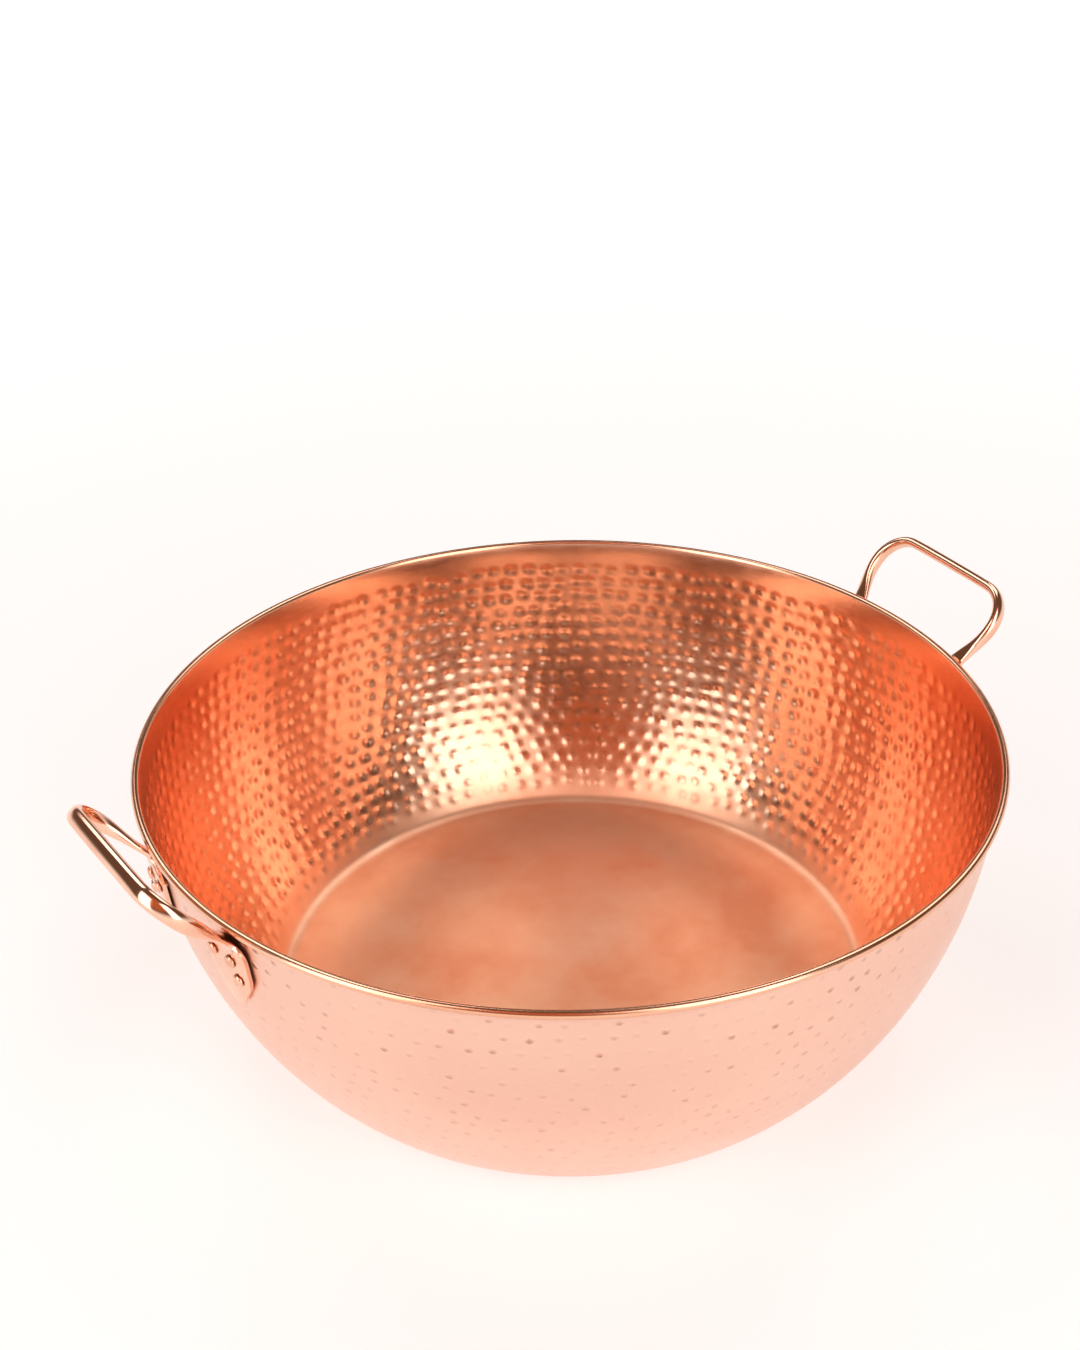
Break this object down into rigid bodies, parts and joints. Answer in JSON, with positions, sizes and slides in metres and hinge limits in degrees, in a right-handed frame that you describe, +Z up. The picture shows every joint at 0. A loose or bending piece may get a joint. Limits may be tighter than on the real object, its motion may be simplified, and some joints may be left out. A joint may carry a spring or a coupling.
{
  "type": "hammered copper bowl",
  "caption": "Deep hammered copper bowl with a flat base, a flaring wall, a rolled rim and riveted loop handles on opposite sides.",
  "frame": {"origin": "centre of the underside of the flat base, on the table", "axes": "+Z up through the middle of the mouth; +X and -X towards the two handles, which both sit 3.3 degrees off the X axis towards -Y; -Y is the front"},
  "size_m": [0.521, 0.4542, 0.1937],
  "materials": {
    "copper_sheet": "hammered and polished copper sheet, satin on the base",
    "copper_bar": "forged and polished copper bar",
    "copper_rivet": "satin copper, hammered heads",
    "wire_steel": "drawn iron wire, hidden in the rim"
  },
  "bodies": {
    "root": {"bowl": "copper_sheet", "rim_wire": "wire_steel", "handle_right": "copper_bar", "handle_left": "copper_bar", "rivet_right_front_upper_inner": "copper_rivet", "rivet_right_front_upper_outer": "copper_rivet", "rivet_right_front_lower": "copper_rivet", "rivet_right_rear_upper_inner": "copper_rivet", "rivet_right_rear_upper_outer": "copper_rivet", "rivet_right_rear_lower": "copper_rivet", "rivet_left_front_upper_inner": "copper_rivet", "rivet_left_front_upper_outer": "copper_rivet", "rivet_left_front_lower": "copper_rivet", "rivet_left_rear_upper_inner": "copper_rivet", "rivet_left_rear_upper_outer": "copper_rivet", "rivet_left_rear_lower": "copper_rivet"}
  },
  "joints": []
}
